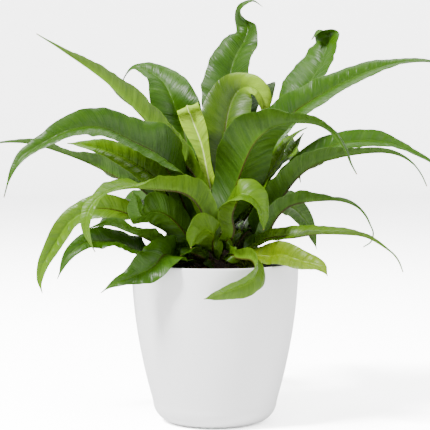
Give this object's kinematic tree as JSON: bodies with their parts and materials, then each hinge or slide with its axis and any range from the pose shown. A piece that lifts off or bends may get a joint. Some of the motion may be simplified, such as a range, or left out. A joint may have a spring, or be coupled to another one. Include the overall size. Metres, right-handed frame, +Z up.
{
  "type": "potted fern",
  "caption": "Bird's nest fern with long wavy strap-shaped fronds, in a nursery pot of soil that stands in a round, tapered plastic cover pot.",
  "frame": {"origin": "centre of the cover pot's flat underside, on the surface it stands on", "axes": "+Z up along the pot's axis, the object's front faces -Y, +X to the right seen from the front"},
  "size_m": [0.4233, 0.2848, 0.3671],
  "materials": {
    "cover_pot": "satin white moulded plastic",
    "nursery_pot": "matt black thin plastic",
    "soil": "dark peaty potting soil, crumbly and matt",
    "crown": "brown fibrous crown with dry scales",
    "frond": "fresh green leaf, smooth and slightly glossy"
  },
  "bodies": {
    "root": {"cover_pot": "cover_pot", "nursery_pot": "nursery_pot", "soil": "soil", "crown": "crown", "frond_left_low_wavy": "frond", "frond_front_over_rim": "frond", "frond_right_low_yellow": "frond", "frond_rear_rim_left": "frond", "frond_rear_rim_right": "frond", "frond_left_low": "frond", "frond_right_low": "frond", "frond_front_left_short": "frond", "frond_left_crinkled_middle": "frond", "frond_left_drop": "frond", "frond_rear_left_low": "frond", "frond_rear_right_low": "frond", "frond_right_curl": "frond", "frond_left_crinkled_back": "frond", "frond_front_star": "frond", "frond_left_crinkled_front": "frond", "frond_rear_middle": "frond", "frond_rear_left_arch": "frond", "frond_rear_right_arch": "frond", "frond_right_far_under": "frond", "frond_left_straight": "frond", "frond_right_far": "frond", "frond_left_front_drape": "frond", "frond_front_fold": "frond", "frond_right_inner": "frond", "frond_rear_upright": "frond", "frond_left_inner": "frond", "frond_right_back_inner": "frond", "frond_right_front_arch": "frond", "frond_left_great": "frond", "frond_back_left_curl": "frond", "frond_upper_left": "frond", "frond_upper_right": "frond", "frond_right_long": "frond", "frond_tall_back": "frond", "frond_heart_broad": "frond", "frond_heart_new": "frond", "frond_heart_pale": "frond"}
  },
  "joints": []
}
